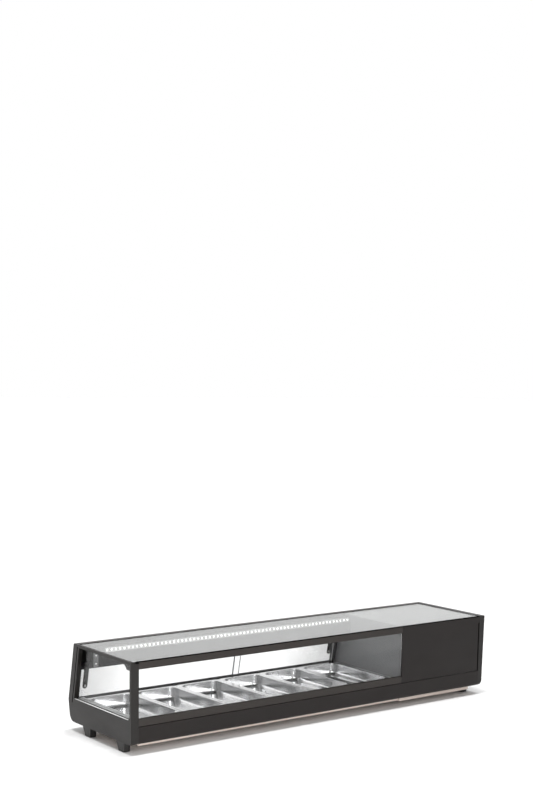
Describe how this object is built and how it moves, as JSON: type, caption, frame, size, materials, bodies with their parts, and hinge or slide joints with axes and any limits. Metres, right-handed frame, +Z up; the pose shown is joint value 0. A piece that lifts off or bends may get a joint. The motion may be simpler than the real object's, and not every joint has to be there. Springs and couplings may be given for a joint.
{
  "type": "refrigerated deli case",
  "caption": "Countertop refrigerated display case with lift-out food pans under flat glass, lamp, sliding rear doors and a cooling unit at one end.",
  "frame": {"origin": "bottom centre of the whole case, on the counter under the feet", "axes": "+X towards the cooling unit end, +Y towards the operator's rear doors, +Z up; the customer's front face looks along -Y"},
  "size_m": [1.514, 0.385, 0.291],
  "materials": {
    "black_paint": "satin black powder coat, warm tone",
    "grey_plate": "satin light grey",
    "cream_paint": "pre-painted cream sheet",
    "dark_gloss": "glossy dark grey",
    "clear_glass": "clear polished",
    "clear_acrylic": "clear polished",
    "acrylic_edge": "polished edge trim",
    "rubber_seal": "matt black",
    "stainless": "bright fine brushed",
    "foam": "rigid foam, not seen",
    "grille": "dark grey ribbed",
    "copper": "copper tube",
    "lamp_aluminium": "satin anodised",
    "lamp_board": "white circuit board",
    "lamp_light": "lit cool white lens",
    "track_plastic": "black extruded plastic",
    "screw_steel": "bright zinc plated",
    "foot_plastic": "black moulded plastic",
    "machine_black": "black enamel",
    "coil_aluminium": "bare finned aluminium",
    "fan_aluminium": "pressed aluminium",
    "control_plastic": "fine textured black",
    "display": "dark red window",
    "button_plastic": "grey keys",
    "rocker_green": "green translucent rocker"
  },
  "bodies": {
    "case": {"left_end_frame": "black_paint", "right_end_panel": "black_paint", "front_top_rail": "black_paint", "front_sill_rail": "black_paint", "front_lower_panel": "black_paint", "motor_front_panel": "black_paint", "rear_lower_panel": "black_paint", "motor_rear_cover": "black_paint", "rear_top_rail": "black_paint", "rear_top_beam": "black_paint", "front_corner_gusset": "black_paint", "door_end_posts": "black_paint", "hanging_arms": "black_paint", "motor_top_plate": "grey_plate", "motor_base_tray": "cream_paint", "tank_floor_panel": "cream_paint", "partition_panel": "dark_gloss", "top_glass": "clear_glass", "front_glass": "clear_glass", "side_glass": "clear_glass", "top_glass_seal": "rubber_seal", "compressor_mounts": "rubber_seal", "well_liner": "stainless", "pan_divider_bars": "stainless", "well_insulation": "foam", "air_grille_left": "grille", "evaporator_coil": "copper", "refrigerant_pipes": "copper", "filter_drier": "copper", "led_channel": "lamp_aluminium", "led_board": "lamp_board", "led_chips": "lamp_light", "door_track_bottom": "track_plastic", "door_track_top": "track_plastic", "arm_screws": "screw_steel", "panel_screws": "screw_steel", "feet": "foot_plastic", "compressor": "machine_black", "fan_motor": "machine_black", "fan_shroud": "machine_black", "condenser_coil": "coil_aluminium", "thermostat_body": "control_plastic", "rocker_frame": "control_plastic", "mains_gland": "control_plastic", "thermostat_display": "display"},
    "left_door": {"door_left": "clear_acrylic", "door_left_edge": "acrylic_edge"},
    "right_door": {"door_right": "clear_acrylic", "door_right_edge": "acrylic_edge"},
    "food_pan_1": {"pan_1": "stainless"},
    "food_pan_2": {"pan_2": "stainless"},
    "food_pan_3": {"pan_3": "stainless"},
    "food_pan_4": {"pan_4": "stainless"},
    "food_pan_5": {"pan_5": "stainless"},
    "food_pan_6": {"pan_6": "stainless"},
    "condenser_fan": {"fan_blade": "fan_aluminium"},
    "rocker": {"power_rocker": "rocker_green"},
    "set_button": {"thermostat_button_set": "button_plastic"},
    "down_button": {"thermostat_button_down": "button_plastic"},
    "up_button": {"thermostat_button_up": "button_plastic"}
  },
  "joints": [
    {"name": "left_door_slide", "type": "slide", "parent": "case", "child": "left_door", "axis": [1, 0, 0], "range_m": [0, 0.415]},
    {"name": "right_door_slide", "type": "slide", "parent": "case", "child": "right_door", "axis": [-1, 0, 0], "range_m": [0, 0.61]},
    {"name": "pan_1_lift", "type": "slide", "parent": "case", "child": "food_pan_1", "axis": [0, -0.1812, 0.9835], "range_m": [0, 0.09]},
    {"name": "pan_2_lift", "type": "slide", "parent": "case", "child": "food_pan_2", "axis": [0, -0.1812, 0.9835], "range_m": [0, 0.09]},
    {"name": "pan_3_lift", "type": "slide", "parent": "case", "child": "food_pan_3", "axis": [0, -0.1812, 0.9835], "range_m": [0, 0.09]},
    {"name": "pan_4_lift", "type": "slide", "parent": "case", "child": "food_pan_4", "axis": [0, -0.1812, 0.9835], "range_m": [0, 0.09]},
    {"name": "pan_5_lift", "type": "slide", "parent": "case", "child": "food_pan_5", "axis": [0, -0.1812, 0.9835], "range_m": [0, 0.09]},
    {"name": "pan_6_lift", "type": "slide", "parent": "case", "child": "food_pan_6", "axis": [0, -0.1812, 0.9835], "range_m": [0, 0.09]},
    {"name": "condenser_fan_spin", "type": "hinge", "parent": "case", "child": "condenser_fan", "pos_m": [0.533, 0.0715, 0.13], "axis": [0, 1, 0], "continuous": true},
    {"name": "rocker_tip", "type": "hinge", "parent": "case", "child": "rocker", "pos_m": [0.629, 0.1763, 0.18343], "axis": [0, -0.1812, 0.9835], "range_deg": [-16, 0]},
    {"name": "set_button_press", "type": "slide", "parent": "case", "child": "set_button", "axis": [0, -0.9835, -0.1812], "range_m": [0, 0.0008], "stiffness_N_per_m": 300, "springref_m": -0.0005},
    {"name": "down_button_press", "type": "slide", "parent": "case", "child": "down_button", "axis": [0, -0.9835, -0.1812], "range_m": [0, 0.0008], "stiffness_N_per_m": 300, "springref_m": -0.0005},
    {"name": "up_button_press", "type": "slide", "parent": "case", "child": "up_button", "axis": [0, -0.9835, -0.1812], "range_m": [0, 0.0008], "stiffness_N_per_m": 300, "springref_m": -0.0005}
  ]
}
